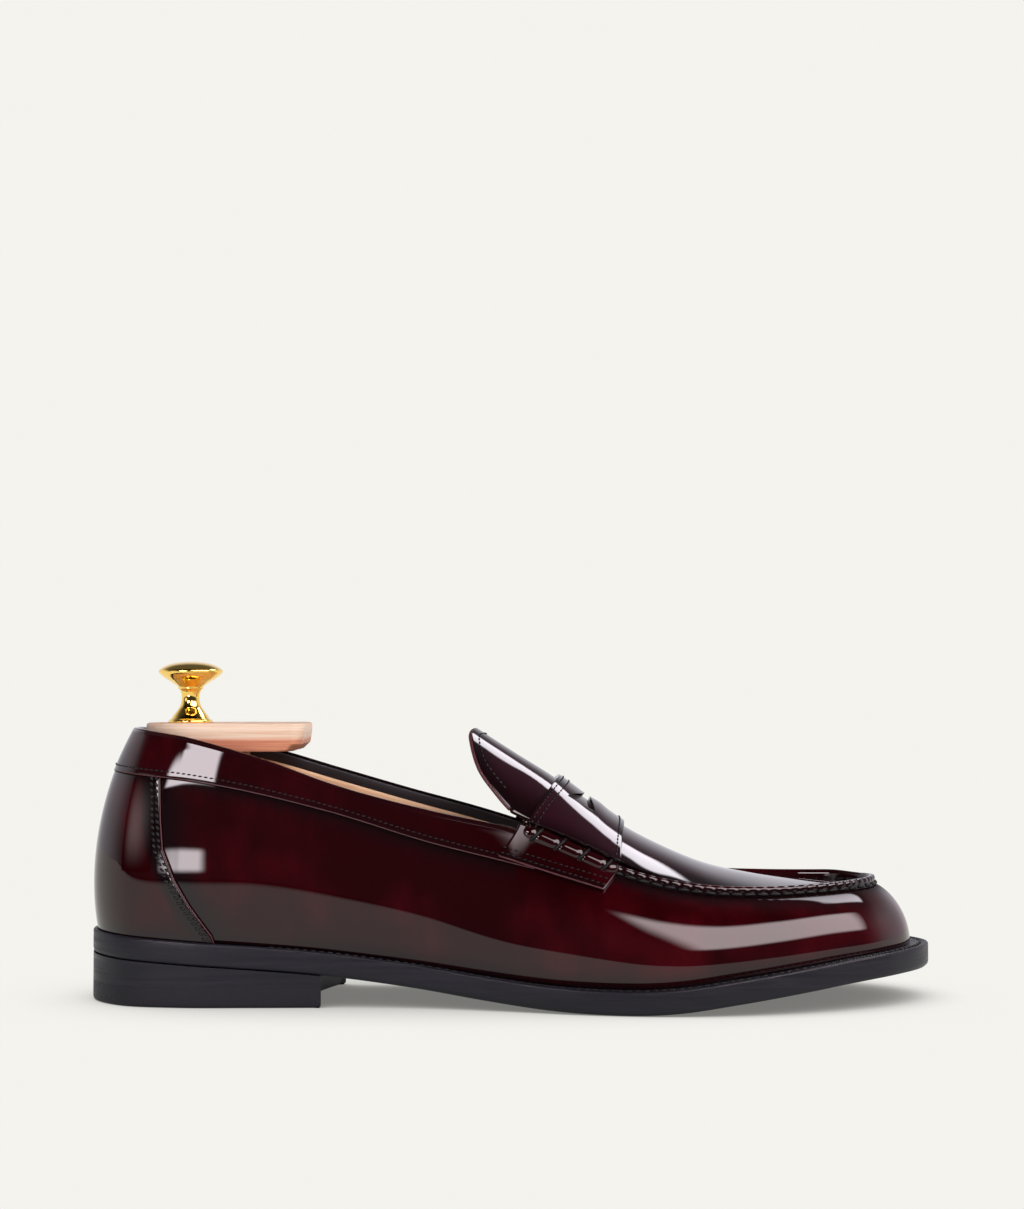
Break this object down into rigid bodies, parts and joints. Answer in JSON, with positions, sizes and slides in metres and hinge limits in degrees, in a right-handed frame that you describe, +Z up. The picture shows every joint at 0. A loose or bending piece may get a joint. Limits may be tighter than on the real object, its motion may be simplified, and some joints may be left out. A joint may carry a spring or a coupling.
{
  "type": "penny loafer",
  "caption": "Men's welted penny loafer for the right foot, with an apron seam, saddle strap and side rolls, standing on its heel with a spring-loaded wooden shoe tree inside.",
  "frame": {"origin": "on the ground, under the middle of the bounding box", "axes": "+X from heel to toe, +Y to the medial side (the wearer's left, on this right shoe), +Z up"},
  "size_m": [0.298, 0.103, 0.1191],
  "materials": {
    "oxblood_leather": "high gloss, burnished",
    "aubergine_leather": "high gloss, burnished",
    "black_thread": "waxed",
    "tan_lining": "satin",
    "black_facing": "satin",
    "stiff_board": "matt",
    "spring_steel": "bright",
    "cork": "matt",
    "black_sole": "satin, inked",
    "black_rubber": "satin",
    "steel": "bright",
    "cedar": "sanded, unfinished",
    "dowel_wood": "sanded",
    "brass": "polished"
  },
  "bodies": {
    "shoe": {"apron_thread": "black_thread", "beef_roll_lateral": "oxblood_leather", "beef_roll_medial": "oxblood_leather", "collar_band": "oxblood_leather", "collar_facing": "black_facing", "cork_filler": "cork", "heel_counter_cover": "oxblood_leather", "heel_lift_lower": "black_sole", "heel_lift_upper": "black_sole", "heel_nails": "steel", "heel_rand": "black_sole", "heel_stiffener": "stiff_board", "insole": "stiff_board", "outsole": "black_sole", "plug_and_tongue": "aubergine_leather", "plug_lining": "tan_lining", "quarter_lining": "tan_lining", "roll_stitches": "black_thread", "saddle_strap": "aubergine_leather", "shank": "spring_steel", "side_tab_lateral": "oxblood_leather", "side_tab_medial": "oxblood_leather", "sock_liner": "tan_lining", "toe_puff": "stiff_board", "top_lift": "black_rubber", "tree_dowels": "dowel_wood", "tree_forepart_lateral": "cedar", "tree_side_springs": "spring_steel", "tree_spring": "spring_steel", "tree_tube": "steel", "vamp_lining": "tan_lining", "vamp_wall": "oxblood_leather", "welt": "black_sole", "welt_thread": "black_thread"},
    "tree_heel": {"tree_heel_block": "cedar", "tree_knob": "brass", "knob_screw": "steel", "tree_rod": "steel", "rod_pin": "steel"},
    "tree_medial": {"tree_forepart_medial": "cedar"}
  },
  "joints": [
    {"name": "tree_heel_slide", "type": "slide", "parent": "shoe", "child": "tree_heel", "axis": [0.9917, 0, -0.1288], "range_m": [0, 0.015], "stiffness_N_per_m": 800, "springref_m": -0.02, "deforming": ["tree_spring"]},
    {"name": "tree_medial_slide", "type": "slide", "parent": "shoe", "child": "tree_medial", "axis": [0, -1, 0], "range_m": [0, 0.003], "stiffness_N_per_m": 600, "springref_m": -0.006, "deforming": ["tree_side_springs"]}
  ]
}
